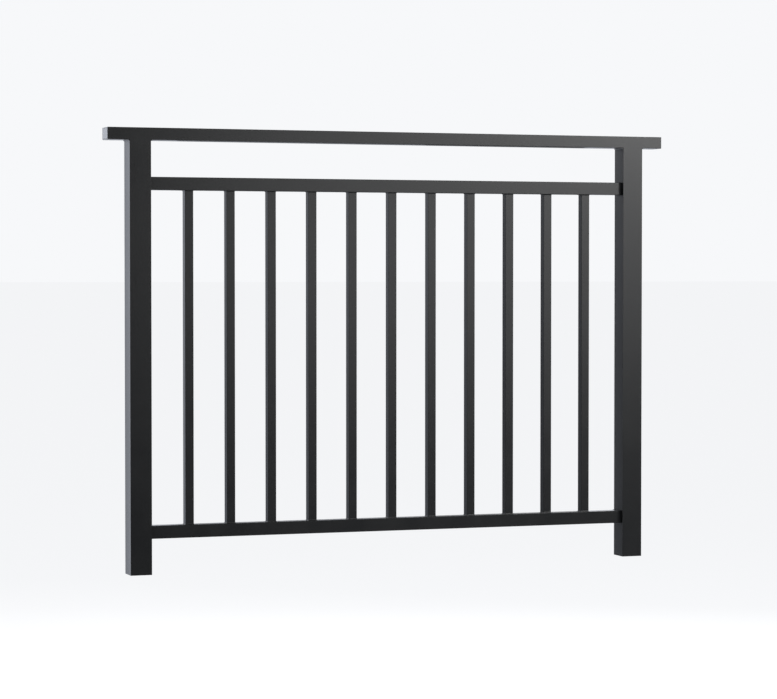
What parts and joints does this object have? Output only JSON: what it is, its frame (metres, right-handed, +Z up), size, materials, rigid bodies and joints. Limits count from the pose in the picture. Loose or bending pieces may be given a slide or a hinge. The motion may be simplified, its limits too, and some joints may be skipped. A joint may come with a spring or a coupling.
{
  "type": "juliet balcony",
  "caption": "Juliet balcony for a French window: a flat dark balustrade of box tubes with upright balusters and an overhanging handrail, held off the wall on stand-offs.",
  "frame": {"origin": "centre of the wall face of the left post's lower stand-off, on the wall plane", "axes": "+X to the right along the balustrade as seen from outside, +Y into the wall, +Z up"},
  "size_m": [1.377, 0.1, 1.017],
  "materials": {
    "dark_powder_coat": "dark anthracite powder coat, satin, fine texture",
    "stainless_steel": "machined, bare"
  },
  "bodies": {
    "root": {"post_left": "dark_powder_coat", "post_right": "dark_powder_coat", "post_foot_left": "dark_powder_coat", "post_foot_right": "dark_powder_coat", "handrail": "dark_powder_coat", "handrail_end_left": "dark_powder_coat", "handrail_end_right": "dark_powder_coat", "upper_rail": "dark_powder_coat", "lower_rail": "dark_powder_coat", "baluster_01": "dark_powder_coat", "baluster_02": "dark_powder_coat", "baluster_03": "dark_powder_coat", "baluster_04": "dark_powder_coat", "baluster_05": "dark_powder_coat", "baluster_06": "dark_powder_coat", "baluster_07": "dark_powder_coat", "baluster_08": "dark_powder_coat", "baluster_09": "dark_powder_coat", "baluster_10": "dark_powder_coat", "baluster_11": "dark_powder_coat", "standoff_left_lower": "dark_powder_coat", "standoff_left_upper": "dark_powder_coat", "standoff_right_lower": "dark_powder_coat", "standoff_right_upper": "dark_powder_coat", "grub_screw_left_lower": "stainless_steel", "grub_screw_left_upper": "stainless_steel", "grub_screw_right_lower": "stainless_steel", "grub_screw_right_upper": "stainless_steel"}
  },
  "joints": []
}
